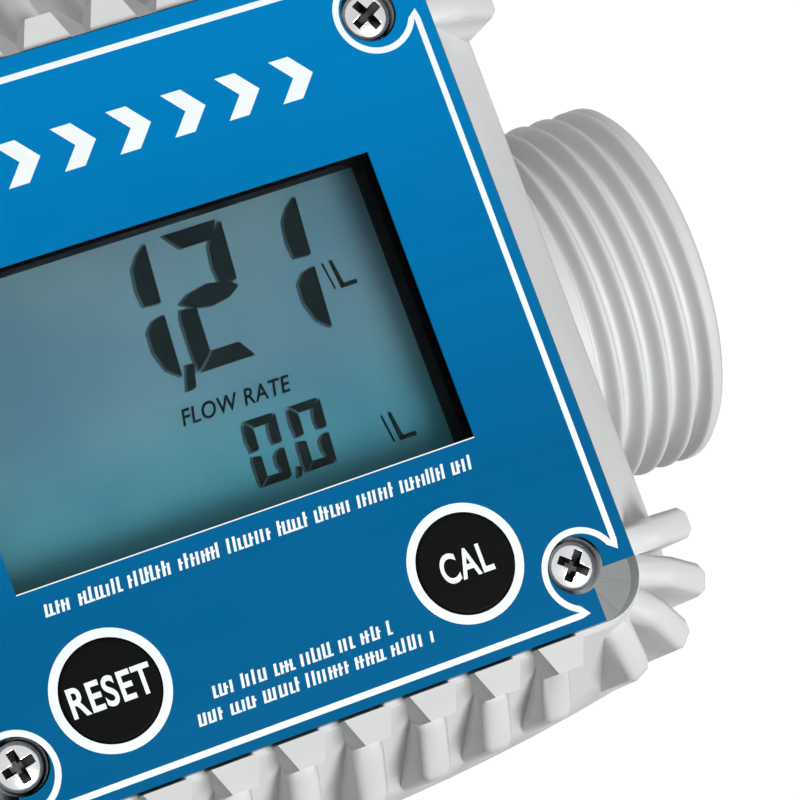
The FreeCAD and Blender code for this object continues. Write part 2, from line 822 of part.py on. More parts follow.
def cell_span(side):
    """The two ends of a cell's case along X, its nub left out."""
    nub_end = "(tray_inner_half - contact_thick)"
    if side > 0:
        return (f"{nub_end} - cell_length", f"{nub_end} - cell_nub_length")
    return (f"-({nub_end} - cell_nub_length)", f"-({nub_end} - cell_length)")


def build_cells():
    cells = []
    for side, title in ((1, "upper"), (-1, "lower")):
        centre = (f"{side} * cell_half_gap", "cell_height")
        low, high = cell_span(side)
        case = cylinder(f"cell_case_{title}", "cell_radius", "x", low, high, centre)
        nub = (f"{high} - 1", f"{high} + cell_nub_length")
        if side < 0:
            nub = (f"{low} - cell_nub_length", f"{low} + 1")
        tip = cylinder(f"cell_nub_{title}", "cell_nub_radius", "x", nub[0], nub[1], centre)
        cells.append(fuse(f"cell_{title}", [case, tip]))
    return fuse("cell_pair", cells)


def build_positive_contacts():
    plates = []
    for side, title in ((1, "upper"), (-1, "lower")):
        ends = ("tray_inner_half - contact_thick", "tray_inner_half")
        if side < 0:
            ends = ("-tray_inner_half", "-tray_inner_half + contact_thick")
        middle = f"{side} * cell_half_gap"
        plates.append(box(f"positive_plate_{title}", ends,
                          (f"{middle} - contact_side / 2", f"{middle} + contact_side / 2"),
                          ("cell_height - contact_side / 2", "cell_height + contact_side / 2")))
    return fuse("positive_plates", plates)


def build_negative_springs():
    """Two bowed leaf springs that press the cells onto the plates."""
    drawing = doc.addObject("Sketcher::SketchObject", "leaf_outline")
    drawing.setExpression("Placement.Base.z", formula("cell_height - contact_side / 2"))
    for side in (1, -1):
        low, high = cell_span(side)
        wall, crown = ("-tray_inner_half", low) if side > 0 else ("tray_inner_half", high)
        middle = f"{side} * cell_half_gap"
        inward = f"{side} * contact_thick"
        foot = f"{side} * contact_side / 2"
        profile(drawing, [
            (wall, f"{middle} - {foot}"), (f"{wall} + {inward} * 1.5", f"{middle} - {foot}"),
            (crown, middle), (f"{wall} + {inward} * 1.5", f"{middle} + {foot}"),
            (wall, f"{middle} + {foot}"), (f"{crown} - {inward}", middle)])
    return extrusion("leaf_springs", drawing, "contact_side")


def build_reed_sensor():
    centre = ("0", "reed_height")
    capsule = cylinder("reed_glass", "reed_radius", "x", "-reed_length / 2", "reed_length / 2", centre)
    wire = cylinder("reed_wire", "reed_lead_radius", "x", "-reed_length / 2 - reed_lead_length",
                    "reed_length / 2 + reed_lead_length", centre)
    legs = [cylinder(f"reed_leg_{title}", "reed_lead_radius", "z", "reed_height - reed_lead_radius",
                     "board_bottom",
                     (f"{side} * (reed_length / 2 + reed_lead_length - reed_lead_radius)", "0"))
            for side, title in ((-1, "inlet"), (1, "outlet"))]
    return fuse("reed_assembly", [capsule, wire] + legs)


# ---------------------------------------------------------------- turbine

def blade_shape(turn):
    """One helical blade: thin radial sections turned evenly along the flow axis."""
    inner = number("rotor_hub_radius") - 0.6
    outer = number("blade_radius")
    half_thick = number("blade_thick") / 2
    half_length = number("blade_half_length")
    twist = number("blade_twist")
    wires = []
    for index in range(BLADE_SECTIONS):
        share = index / (BLADE_SECTIONS - 1)
        angle = math.radians(turn + twist * (share - 0.5))
        along = half_length * (2 * share - 1)
        corners = []
        for radius, side in ((inner, -1), (outer, -1), (outer, 1), (inner, 1)):
            y = radius * math.cos(angle) - side * half_thick * math.sin(angle)
            z = radius * math.sin(angle) + side * half_thick * math.cos(angle)
            corners.append(Vector(along, y, z))
        wires.append(Part.makePolygon(corners + corners[:1]))
    return Part.makeLoft(wires, True, False)


def build_rotor():
    blades = []
    for index in range(BLADES):
        blade = doc.addObject("Part::Feature", f"blade_{index}")
        blade.Shape = blade_shape(360 / BLADES * index)
        place(blade, z="flow_axis_height")
        blades.append(blade)
    axis = ("0", "flow_axis_height")
    hub = cylinder("rotor_hub", "rotor_hub_radius", "x", "-rotor_half_length", "rotor_half_length", axis)
    sweep = cylinder("rotor_sweep", "blade_radius", "x", "-rotor_half_length", "rotor_half_length", axis)
    wheel = common("rotor_wheel", [fuse("rotor_solid", [hub] + blades), sweep])
    holes = [cylinder("rotor_shaft_hole", "shaft_radius", "x", "-rotor_half_length - 1",
                      "rotor_half_length + 1", axis)]
    for side, title in ((-1, "lower"), (1, "upper")):
        holes.append(cylinder(f"magnet_hole_{title}", "magnet_radius", "x",
                              "rotor_half_length - magnet_length", "rotor_half_length + 1",
                              ("0", f"flow_axis_height + {side} * magnet_offset")))
    return cut("rotor_bored", wheel, holes)


def build_magnets():
    return fuse("magnet_pair", [
        cylinder(f"magnet_{title}", "magnet_radius", "x", "rotor_half_length - magnet_length",
                 "rotor_half_length", ("0", f"flow_axis_height + {side} * magnet_offset"))
        for side, title in ((-1, "lower"), (1, "upper"))])


def build_shaft():
    return cylinder("rotor_pin", "shaft_radius", "x", "-shaft_half_length", "shaft_half_length",
                    ("0", "flow_axis_height"))


def along(side, near, far):
    """A span from near to far on the outlet side, or its mirror image on the inlet side."""
    return (near, far) if side > 0 else (f"-({far})", f"-({near})")


def build_bearing(side, title):
    start, end = along(side, "rotor_half_length + bearing_play",
                       "rotor_half_length + bearing_play + bearing_length")
    return tube(f"{title}_bush", "bearing_radius", "shaft_radius + running_gap", "x", start, end,
                ("0", "flow_axis_height"))


def build_guide(side, title):
    """Outer ring, round-nosed hub and four straight vanes; the hub carries the bearing."""
    axis = ("0", "flow_axis_height")
    start, end = along(side, "guide_seat", "guide_end")
    ring = tube(f"{title}_guide_ring", "guide_bore_radius - running_gap",
                "guide_bore_radius - running_gap - guide_wall", "x", start, end, axis)
    hub = new_body(f"{title}_guide_hub")
    drawing = sketch(hub, f"{title}_hub_outline", "XZ_Plane")
    nose = "(guide_end - guide_hub_radius)"
    points = [("guide_seat", "0"), ("guide_end", "0"), (nose, "guide_hub_radius"),
              ("guide_seat", "guide_hub_radius")]
    if side > 0:
        profile(drawing, points, {1: "guide_hub_radius"})
    else:
        mirrored = [(f"-{x}", y) for x, y in reversed(points)]
        profile(drawing, mirrored, {1: "guide_hub_radius"})
    revolve(hub, f"{title}_hub_turned", drawing)
    place(hub, z="flow_axis_height")
    reach = "(guide_bore_radius - guide_wall / 2)"
    blade = "guide_vane_thick / 2"
    vane_start, vane_end = along(side, "guide_seat + 1", nose)
    vanes = [box(f"{title}_vane_flat", (vane_start, vane_end), (f"-{reach}", reach),
                 (f"flow_axis_height - {blade}", f"flow_axis_height + {blade}")),
             box(f"{title}_vane_upright", (vane_start, vane_end), (f"-{blade}", blade),
                 (f"flow_axis_height - {reach}", f"flow_axis_height + {reach}"))]
    solid = fuse(f"{title}_guide_solid", [ring, hub] + vanes)
    socket_start, socket_end = along(side, "guide_seat - 1",
                                     "rotor_half_length + bearing_play + bearing_length")
    socket = cylinder(f"{title}_bearing_socket", "bearing_radius", "x", socket_start, socket_end, axis)
    return cut(f"{title}_guide_bored", solid, [socket])


def build_retaining_ring(side, title):
    """Open spring ring in its groove behind the guide."""
    start, end = along(side, "guide_end", "guide_end + ring_thick")
    ring = tube(f"{title}_ring_blank", "ring_radius", "ring_radius - ring_width", "x", start, end,
                ("0", "flow_axis_height"))
    opening = box(f"{title}_ring_opening", (f"{start} - 1", f"{end} + 1"),
                  ("-ring_opening / 2", "ring_opening / 2"),
                  ("flow_axis_height - 2 * ring_radius", "flow_axis_height"))
    return cut(f"{title}_ring_cut", ring, [opening])


# ---------------------------------------------------------------- assembly and export

def build_all():
    keep(build_meter_body(), "meter_body")
    keep(build_front_cover(), "front_cover")
    keep(build_label(), "face_label")
    keep(gasket_ring("seal_ring", "rim_top - gasket_thick", "gasket_thick"), "cover_gasket")
    keep(build_cover_screws(), "cover_screws")
    keep(build_lcd_frame(), "lcd_frame")
    keep(build_lcd_glass(), "lcd_glass")
    keep(build_lcd_connectors(), "lcd_connectors")
    keep(build_circuit_board(), "circuit_board")
    keep(build_board_screws(), "board_screws")
    keep(build_display_driver(), "display_driver")
    for title, x in (("reset", "-button_spread"), ("cal", "button_spread")):
        keep(build_button(title, x), f"{title}_button")
        keep(build_plunger(title, x), f"{title}_plunger")
        keep(build_switch(title, x), f"{title}_switch")
    keep(build_cell_tray(), "cell_tray")
    keep(build_cells(), "power_cells")
    keep(build_positive_contacts(), "positive_contacts")
    keep(build_negative_springs(), "negative_springs")
    keep(build_reed_sensor(), "reed_sensor")
    keep(build_rotor(), "turbine_rotor")
    keep(build_magnets(), "rotor_magnets")
    keep(build_shaft(), "rotor_shaft")
    for side, title in ((1, "outlet"), (-1, "inlet")):
        keep(build_guide(side, title), f"{title}_flow_guide")
        keep(build_bearing(side, title), f"{title}_bearing")
        keep(build_retaining_ring(side, title), f"{title}_retaining_ring")


def check_document():
    """Stop on any failed object or empty or invalid sub-part."""
    failed = [item.Name for item in doc.Objects
              if any(state in ("Invalid", "Error") for state in item.State)]
    if failed:
        raise RuntimeError("failed objects: " + ", ".join(failed))
    for piece in pieces:
        if piece.Shape.isNull() or not piece.Shape.isValid() or piece.Shape.Volume <= 0:
            raise RuntimeError("bad shape: " + piece.Label)


def export_pieces():
    os.makedirs("parts", exist_ok=True)
    for piece in pieces:
        piece.Shape.exportStep(f"parts/{piece.Label}.step")
        extent = piece.Shape.BoundBox
        print(f"{piece.Label:24s} solids {len(piece.Shape.Solids)} volume {piece.Shape.Volume:10.2f}"
              f"  x {extent.XMin:7.2f} {extent.XMax:7.2f}  y {extent.YMin:7.2f} {extent.YMax:7.2f}"
              f"  z {extent.ZMin:7.2f} {extent.ZMax:7.2f}")


build_all()
doc.recompute()
check_document()
export_pieces()
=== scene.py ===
"""Turbine flow meter: the finish of every piece, the printed label, the display and the screws.

Lengths are in millimetres, and MM turns them into metres, except where a comment says metres.
The frame has its origin at the middle of the flat back: +X along the flow, +Y towards the
display's top edge, +Z out of the display.
"""

import json
import math
import random

import bmesh
import bpy
from mathutils import Matrix, Vector


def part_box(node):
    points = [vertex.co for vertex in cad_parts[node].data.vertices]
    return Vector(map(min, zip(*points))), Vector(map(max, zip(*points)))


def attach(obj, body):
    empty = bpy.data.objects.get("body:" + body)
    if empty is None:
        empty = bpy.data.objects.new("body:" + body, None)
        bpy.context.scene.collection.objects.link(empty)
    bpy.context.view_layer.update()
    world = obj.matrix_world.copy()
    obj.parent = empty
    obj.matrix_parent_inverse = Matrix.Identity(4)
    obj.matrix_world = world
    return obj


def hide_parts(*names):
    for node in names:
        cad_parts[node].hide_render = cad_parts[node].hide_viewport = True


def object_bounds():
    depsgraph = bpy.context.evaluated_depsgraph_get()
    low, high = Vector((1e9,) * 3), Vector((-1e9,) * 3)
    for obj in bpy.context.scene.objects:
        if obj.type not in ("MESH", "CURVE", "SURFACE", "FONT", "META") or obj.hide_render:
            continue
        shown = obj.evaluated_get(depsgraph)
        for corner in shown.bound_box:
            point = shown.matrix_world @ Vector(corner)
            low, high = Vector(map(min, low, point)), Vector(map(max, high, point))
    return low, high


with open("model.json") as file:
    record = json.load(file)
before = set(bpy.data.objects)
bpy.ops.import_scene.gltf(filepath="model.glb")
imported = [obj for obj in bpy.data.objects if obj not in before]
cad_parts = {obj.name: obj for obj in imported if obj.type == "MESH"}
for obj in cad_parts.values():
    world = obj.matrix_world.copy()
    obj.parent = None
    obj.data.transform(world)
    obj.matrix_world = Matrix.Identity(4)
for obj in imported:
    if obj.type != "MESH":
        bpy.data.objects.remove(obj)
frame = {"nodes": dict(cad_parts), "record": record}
NODES = frame["nodes"]
CAD_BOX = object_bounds()

MM = 0.001


# ---------------------------------------------------------------- places read from the frame

def box_mm(node):
    low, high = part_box(node)
    return low / MM, high / MM


def middle_mm(node):
    low, high = box_mm(node)
    return (low + high) / 2


FACE = box_mm("face_label")[1].z
LCD_LOW, LCD_HIGH = box_mm("lcd_glass")
# The frame and the label cover the display's glass by this much on every side.
LCD_MARGIN = 1.65
WINDOW_LOW = Vector((LCD_LOW.x + LCD_MARGIN, LCD_LOW.y + LCD_MARGIN))
WINDOW_HIGH = Vector((LCD_HIGH.x - LCD_MARGIN, LCD_HIGH.y - LCD_MARGIN))


# ---------------------------------------------------------------- materials

def srgb(red, green, blue):
    """An 8-bit screen colour as the linear colour that the shader wants."""
    def linear(value):
        value /= 255
        return value / 12.92 if value <= 0.04045 else ((value + 0.055) / 1.055) ** 2.4
    return (linear(red), linear(green), linear(blue), 1.0)


def new_material(name, colour, roughness=0.5, metallic=0.0, **sockets):
    made = bpy.data.materials.new(name)
    made.use_nodes = True
    shader = made.node_tree.nodes["Principled BSDF"]
    shader.inputs["Base Color"].default_value = colour
    shader.inputs["Roughness"].default_value = roughness
    shader.inputs["Metallic"].default_value = metallic
    for socket, value in sockets.items():
        shader.inputs[socket.replace("_", " ")].default_value = value
    made.diffuse_color = colour
    return made


def shader_of(made):
    return made.node_tree.nodes["Principled BSDF"]


def add_node(made, kind, **settings):
    node = made.node_tree.nodes.new("ShaderNode" + kind)
    for name, value in settings.items():
        if name in node.inputs:
            node.inputs[name].default_value = value
        else:
            setattr(node, name, value)
    return node


def link(made, source, target):
    made.node_tree.links.new(source, target)


def object_space(made):
    return add_node(made, "TexCoord").outputs["Object"]


def noise(made, size, detail=4.0, stretch=(1, 1, 1)):
    """Noise whose features are about size millimetres across."""
    mapping = add_node(made, "Mapping")
    mapping.inputs["Scale"].default_value = stretch
    link(made, object_space(made), mapping.inputs["Vector"])
    cloud = add_node(made, "TexNoise", Scale=1 / (size * MM), Detail=detail)
    link(made, mapping.outputs["Vector"], cloud.inputs["Vector"])
    return cloud.outputs["Fac"]


def ramp(made, factor, stops):
    """A colour ramp from (place, colour) stops."""
    scale = add_node(made, "ValToRGB")
    while len(scale.color_ramp.elements) < len(stops):
        scale.color_ramp.elements.new(0.5)
    for element, (where, colour) in zip(scale.color_ramp.elements, stops):
        element.position = where
        element.color = colour
    link(made, factor, scale.inputs["Fac"])
    return scale.outputs["Color"]


def between(made, value, low, high, to_low=0.0, to_high=1.0):
    """value, mapped from low..high to to_low..to_high."""
    mapped = add_node(made, "MapRange")
    for socket, number in (("From Min", low), ("From Max", high),
                           ("To Min", to_low), ("To Max", to_high)):
        mapped.inputs[socket].default_value = number
    link(made, value, mapped.inputs["Value"])
    return mapped.outputs["Result"]


def along_axis(made, axis, low, high):
    """0 to 1 along one axis of the frame, between two places in millimetres."""
    split = add_node(made, "SeparateXYZ")
    link(made, object_space(made), split.inputs["Vector"])
    return between(made, split.outputs[axis], low * MM, high * MM)


def shade(colour, factor):
    return tuple(min(1.0, part * factor) for part in colour[:3]) + (1.0,)


# Noise mostly lies between these two values.
NOISE_LOW, NOISE_HIGH = 0.3, 0.7


def mottle(made, colour, size, spread):
    """Faint variation of a colour, a little darker and lighter than written."""
    tint = ramp(made, noise(made, size), ((NOISE_LOW, shade(colour, 1 - spread)),
                                          (NOISE_HIGH, shade(colour, 1 + spread))))
    link(made, tint, shader_of(made).inputs["Base Color"])


def uneven_gloss(made, size, low, high):
    """Roughness that wanders between low and high."""
    link(made, between(made, noise(made, size), NOISE_LOW, NOISE_HIGH, low, high),
         shader_of(made).inputs["Roughness"])


def grain(made, size, height, strength=0.5, stretch=(1, 1, 1)):
    """A fine moulded or cast texture: size and height in millimetres."""
    bump = add_node(made, "Bump", Strength=strength, Distance=height * MM)
    link(made, noise(made, size, 3.0, stretch), bump.inputs["Height"])
    link(made, bump.outputs["Normal"], shader_of(made).inputs["Normal"])


def moulded_plastic(name, colour, roughness, grain_size=0.35, grain_height=0.01, spread=0.03):
    made = new_material(name, colour, roughness)
    mottle(made, colour, 9.0, spread)
    uneven_gloss(made, 3.0, roughness - 0.06, roughness + 0.08)
    grain(made, grain_size, grain_height)
    return made


def worked_metal(name, colour, roughness, size=0.5, height=0.006, stretch=(1, 1, 1)):
    made = new_material(name, colour, roughness, 1.0)
    mottle(made, colour, 2.0, 0.08)
    uneven_gloss(made, 1.2, roughness * 0.7, roughness * 1.5)
    grain(made, size, height, stretch=stretch)
    return made


def shell_plastic():
    made = moulded_plastic("shell_plastic", srgb(207, 208, 208), 0.5)
    shader_of(made).inputs["Specular IOR Level"].default_value = 0.35
    return made


def black_plastic():
    made = moulded_plastic("black_plastic", srgb(12, 11, 11), 0.45, 0.3, 0.006, 0.1)
    shader_of(made).inputs["Specular IOR Level"].default_value = 0.03
    return made


def clear_plastic():
    """Smoky clear plastic whose cut edges are frosted and darker; the darker colour is painted
    shade for the dark line along a clear plate's edge.

    Shadow rays pass weakened, so that what lies behind is dimly lit.
    """
    smoky, edge_frost_and_shade, shaded = (0.81, 0.83, 0.83, 1), (0.46, 0.5, 0.52, 1), (0.68, 0.68, 0.68, 1)
    edge, front = 0.3, 0.7
    made = new_material("clear_plastic", smoky, 0.03,
                        Transmission_Weight=1.0, IOR=1.2, Specular_Tint=(0.2, 0.2, 0.2, 1))
    uneven_gloss(made, 6.0, 0.015, 0.05)
    # How far a face looks along Z: near 0 on the cut edges, 1 on the plate's two sides.
    normal = add_node(made, "NewGeometry").outputs["True Normal"]
    link(made, normal, shader_of(made).inputs["Normal"])
    split = add_node(made, "SeparateXYZ")
    link(made, normal, split.inputs["Vector"])
    level = add_node(made, "Math", operation="ABSOLUTE")
    link(made, split.outputs["Z"], level.inputs[0])
    # The cut edges take a darker, less clear colour: real frosting, and painted shade for the dark
    # line along the plate's edge.
    link(made, ramp(made, level.outputs["Value"], ((edge, edge_frost_and_shade), (front, smoky))),
         shader_of(made).inputs["Base Color"])
    link(made, between(made, level.outputs["Value"], edge, front, 0.3, 1.0),
         shader_of(made).inputs["Transmission Weight"])
    clear = add_node(made, "BsdfTransparent")
    clear.inputs["Color"].default_value = shaded
    path = add_node(made, "LightPath")
    mixed = add_node(made, "MixShader")
    link(made, path.outputs["Is Shadow Ray"], mixed.inputs["Fac"])
    link(made, shader_of(made).outputs["BSDF"], mixed.inputs[1])
    link(made, clear.outputs["BSDF"], mixed.inputs[2])
    link(made, mixed.outputs["Shader"], made.node_tree.nodes["Material Output"].inputs["Surface"])
    return made


def label_film():
    """Blue printed film, faintly streaked, and deeper in tone towards its lower edge."""
    low, high = srgb(0, 97, 147), srgb(0, 126, 191)
    streak, plain = (0.93, 0.93, 0.93, 1), (1, 1, 1, 1)
    made = new_material("label_film", high, 0.34, Specular_IOR_Level=0.03)
    tone = ramp(made, along_axis(made, "Y", -14, 24), ((0.0, low), (1.0, high)))
    streaks = noise(made, 1.6, 2.0, (0.05, 1, 1))
    mixed = add_node(made, "Mix", data_type="RGBA", blend_type="MULTIPLY")
    mixed.inputs["Factor"].default_value = 1.0
    link(made, tone, mixed.inputs["A"])
    link(made, ramp(made, streaks, ((0.25, streak), (0.75, plain))), mixed.inputs["B"])
    link(made, mixed.outputs["Result"], shader_of(made).inputs["Base Color"])
    uneven_gloss(made, 5.0, 0.28, 0.42)
    grain(made, 0.6, 0.004, 0.3)
    return made


def white_ink():
    made = new_material("white_ink", srgb(240, 247, 248), 0.4)
    mottle(made, srgb(236, 244, 246), 1.5, 0.03)
    grain(made, 0.3, 0.003, 0.3)
    return made


def display_glass():
    """The display's reflective grey-green field, cloudy and cooler towards its lower part."""
    top, middle, low = srgb(86, 112, 121), srgb(80, 112, 124), srgb(52, 118, 130)
    cloud, plain = (0.66, 0.8, 0.88, 1), (1, 1, 1, 1)
    made = new_material("lcd_glass", middle, 0.25, Specular_IOR_Level=0.1)
    tone = ramp(made, along_axis(made, "Y", WINDOW_LOW.y, WINDOW_HIGH.y),
                ((0.0, low), (0.5, middle), (1.0, top)))
    clouds = ramp(made, noise(made, 14.0, 2.0), ((0.35, cloud), (0.62, plain)))
    mixed = add_node(made, "Mix", data_type="RGBA", blend_type="MULTIPLY")
    mixed.inputs["Factor"].default_value = 1.0
    link(made, tone, mixed.inputs["A"])
    link(made, clouds, mixed.inputs["B"])
    link(made, mixed.outputs["Result"], shader_of(made).inputs["Base Color"])
    grain(made, 0.25, 0.002, 0.3)
    return made


def display_ink(name, colour, cover):
    """Lit segments, or their paler shadow on the glass behind them."""
    made = new_material(name, colour, 0.5, Alpha=cover, Specular_IOR_Level=0.05)
    mottle(made, colour, 1.2, 0.12)
    return made


def cell_jacket():
    """A dark wrap with a brass-coloured end."""
    wrap, band = srgb(48, 52, 58), srgb(176, 140, 78)
    made = new_material("cell_jacket", srgb(60, 64, 70), 0.35)
    tone = ramp(made, along_axis(made, "X", -24, 24),
                ((0.0, wrap), (0.72, wrap), (0.73, band), (1.0, band)))
    link(made, tone, shader_of(made).inputs["Base Color"])
    uneven_gloss(made, 2.0, 0.25, 0.4)
    return made


def board_green():
    made = new_material("board_green", srgb(34, 96, 62), 0.4)
    tracks = ramp(made, noise(made, 1.2, 1.0, (1, 6, 1)),
                  ((0.47, srgb(28, 84, 54)), (0.53, srgb(52, 124, 80))))
    link(made, tracks, shader_of(made).inputs["Base Color"])
    grain(made, 0.5, 0.01)
    return made


def make_materials():
    """One material for each slot of the record."""
    return {
        "shell_plastic": shell_plastic(),
        "clear_plastic": clear_plastic(),
        "label_film": label_film(),
        "seal_rubber": moulded_plastic("seal_rubber", srgb(44, 44, 46), 0.75, 0.2, 0.01, 0.08),
        "screw_steel": worked_metal("screw_steel", srgb(214, 214, 216), 0.16),
        "black_plastic": black_plastic(),
        "lcd_glass": display_glass(),
        "board_green": board_green(),
        "cream_plastic": moulded_plastic("cream_plastic", srgb(214, 206, 184), 0.5),
        "cell_jacket": cell_jacket(),
        "contact_metal": worked_metal("contact_metal", srgb(198, 192, 176), 0.28),
        "sensor_glass": new_material("sensor_glass", srgb(150, 190, 170), 0.08,
                                     Transmission_Weight=0.8),
        "rotor_plastic": moulded_plastic("rotor_plastic", srgb(40, 42, 46), 0.4, 0.3, 0.006, 0.1),
        "magnet_metal": worked_metal("magnet_metal", srgb(150, 152, 156), 0.3),
        "shaft_steel": worked_metal("shaft_steel", srgb(186, 188, 190), 0.15, 0.15, 0.003,
                                    (0.05, 1, 1)),
        "guide_plastic": moulded_plastic("guide_plastic", srgb(206, 208, 208), 0.45),
        "bearing_brass": worked_metal("bearing_brass", srgb(200, 164, 92), 0.25),
        "white_ink": white_ink(),
        "segment_ink": display_ink("segment_ink", srgb(12, 24, 27), 1.0),
        "segment_shadow": display_ink("segment_shadow", srgb(52, 78, 86), 0.55),
        # Darker steel for the screws' cross recesses: a painted shade in the recess.
        "recess_shade_steel": worked_metal("recess_shade_steel", srgb(70, 70, 72), 0.3),
    }


def dress_frame(materials):
    """Give each CAD node the material of its own slot."""
    for entry in frame["record"]["subparts"]:
        mesh = NODES[entry["node"]].data
        mesh.materials.clear()
        mesh.materials.append(materials[entry["material_slot"]])


# ---------------------------------------------------------------- mesh helpers

def piece_from(name, builder, body, material):
    """A new piece from a bmesh builder, in the given material, attached to body."""
    mesh = bpy.data.meshes.new(name)
    work = bmesh.new()
    builder(work)
    bmesh.ops.recalc_face_normals(work, faces=work.faces)
    work.to_mesh(mesh)
    work.free()
    made = bpy.data.objects.new(name, mesh)
    bpy.context.scene.collection.objects.link(made)
    mesh.materials.append(material)
    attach(made, body)
    return made


def slab(work, outline, bottom, thick):
    """A flat outline in millimetres, raised to a thin slab."""
    low = [work.verts.new(Vector((x, y, bottom)) * MM) for x, y in outline]
    high = [work.verts.new(Vector((x, y, bottom + thick)) * MM) for x, y in outline]
    work.faces.new(reversed(low))
    work.faces.new(high)
    for index in range(len(outline)):
        after = (index + 1) % len(outline)
        work.faces.new((low[index], low[after], high[after], high[index]))


def ring_slab(work, outer, inner, bottom, thick, closed=True):
    """A thin band between two lists of matching points."""
    count = len(outer)
    for index in range(count if closed else count - 1):
        after = (index + 1) % count
        slab(work, (outer[index], outer[after], inner[after], inner[index]), bottom, thick)


def arc(centre, radius, start, end, steps):
    """Points on an arc; angles in degrees."""
    return [(centre[0] + radius * math.cos(math.radians(start + (end - start) * step / steps)),
             centre[1] + radius * math.sin(math.radians(start + (end - start) * step / steps)))
            for step in range(steps + 1)]


# ---------------------------------------------------------------- printed label

INK_THICK = 0.02
INK_BOTTOM = FACE - 0.005
# The border: its line's width, its middle and half its sides, then its bite round each screw.
LINE = 0.5
ART_MIDDLE = (0.0, -0.3)
ART_HALF = (27.0, 26.8)
BITE_INSET = 3.3
BITE_RADIUS = 3.12
BITE_STEPS = 56
# Where a tip ends, across and along the line.
BORDER_TIP = (0.08, 0.8)
# The ring round each button, which leaves a gap round the cap.
CAP_RADIUS = 4.0
RING_OUTER = 4.75
RING_GAP = 0.03
RING_STEPS = 96
# The heading's chevrons.
CHEVRONS = 6
CHEVRON_START = (-9.0, 18.3)
CHEVRON_STEP = 4.6
CHEVRON_TALL = 3.5
CHEVRON_STROKE = 1.7
CHEVRON_DEPTH = 1.5
# The small print: each row's start, end, base and height, then its strokes and their bars.
PRINT_ROWS = ((-17.6, 17.9, -13.5, 1.15), (-7.6, 7.4, -23.45, 1.1), (-9.4, 10.2, -25.1, 1.1))
WORD_STROKES = (3, 9)
WORD_GAP = 0.5
STROKE = 0.23
STROKE_STEPS = (0.4, 0.44, 0.5)
STROKE_HEIGHTS = (0.78, 0.85, 0.85, 1.0)
STROKE_LEAN = 0.16
BAR_CHANCE = 0.6
BAR_LONG = 0.2
BAR_THICK = 0.16
# The width of the painted highlight under the window.
HIGHLIGHT_WIDE = 0.09


def label_border(work):
    """A line just inside the label's edge, drawn in round each screw, with pointed tips."""
    half = LINE / 2
    outer, inner = BITE_RADIUS + half, BITE_RADIUS - half
    meet = math.acos((BITE_INSET - half) / outer)
    mid_x, mid_y = ART_MIDDLE
    half_x, half_y = ART_HALF
    centre = (half_x - BITE_INSET, half_y - BITE_INSET)
    drop = outer * math.sin(meet)
    stop_x, stop_y = centre[0] - drop, centre[1] - drop
    for side in (-1, 1):
        x, y = side * half_x, side * half_y
        for low, high in (((x - half, -stop_y), (x + half, stop_y)),
                          ((-stop_x, y - half), (stop_x, y + half))):
            slab(work, [(mid_x + u, mid_y + v) for u, v in
                        (low, (high[0], low[1]), high, (low[0], high[1]))], INK_BOTTOM, INK_THICK)
    turn = math.degrees(meet)
    wide = arc(centre, outer, -turn, turn - 270, BITE_STEPS)
    thin = arc(centre, inner, -turn, turn - 270, BITE_STEPS)
    # A tip on the line towards +Y: its points are (across, along) from the line's own end.
    tip = [(-half, 0), (half, 0), BORDER_TIP,
           (inner * math.cos(meet) - BITE_INSET, drop - inner * math.sin(meet))]
    tip_up = [(half_x + across, stop_y + along) for across, along in tip]
    tip_over = [(stop_x + along, half_y + across) for across, along in tip]
    for side_x in (1, -1):
        for side_y in (1, -1):
            def turned(points):
                return [(mid_x + side_x * x, mid_y + side_y * y) for x, y in points]
            ring_slab(work, turned(wide), turned(thin), INK_BOTTOM, INK_THICK, closed=False)
            slab(work, turned(tip_up), INK_BOTTOM, INK_THICK)
            slab(work, turned(tip_over), INK_BOTTOM, INK_THICK)


def button_rings(work):
    """A printed ring round each push button."""
    for node in ("reset_button", "cal_button"):
        centre = (middle_mm(node).x, middle_mm(node).y)
        outer = arc(centre, RING_OUTER, 0, 360, RING_STEPS)[:-1]
        inner = arc(centre, CAP_RADIUS + RING_GAP, 0, 360, RING_STEPS)[:-1]
        ring_slab(work, outer, inner, INK_BOTTOM, INK_THICK)


def flow_marks(work):
    """A row of plain chevrons, pointing with the flow, where such a label has its heading."""
    start, base = CHEVRON_START
    top, middle = base + CHEVRON_TALL, base + CHEVRON_TALL / 2
    for index in range(CHEVRONS):
        left = start + index * CHEVRON_STEP
        right = left + CHEVRON_STROKE
        slab(work, [(left, base), (right, base), (right + CHEVRON_DEPTH, middle), (right, top),
                    (left, top), (left + CHEVRON_DEPTH, middle)], INK_BOTTOM, INK_THICK)


def print_rows(work):
    """Rows of plain strokes in uneven groups, where such a label has its small print."""
    draw = random.Random(7)
    for start, end, base, height in PRINT_ROWS:
        x = start
        while x < end:
            for _ in range(draw.randint(*WORD_STROKES)):
                if x > end:
                    break
                tall = height * draw.choice(STROKE_HEIGHTS)
                lean = tall * STROKE_LEAN
                right = x + STROKE
                slab(work, [(x, base), (right, base), (right + lean, base + tall),
                            (x + lean, base + tall)], INK_BOTTOM, INK_THICK)
                if draw.random() < BAR_CHANCE:
                    rise = base + draw.choice((0.0, 0.5 * tall))
                    slab(work, [(right, rise), (right + BAR_LONG, rise),
                                (right + BAR_LONG, rise + BAR_THICK), (right, rise + BAR_THICK)],
                         INK_BOTTOM + INK_THICK / 2, INK_THICK / 4)
                x += draw.choice(STROKE_STEPS)
            x += WORD_GAP


def window_highlight(work):
    """A painted highlight: a thin white strip along the bottom of the window, where the film's cut
    edge catches the light.
    """
    left, right, top = WINDOW_LOW.x, WINDOW_HIGH.x, WINDOW_LOW.y
    low = top - HIGHLIGHT_WIDE
    slab(work, [(left, low), (right, low), (right, top), (left, top)], INK_BOTTOM, INK_THICK)


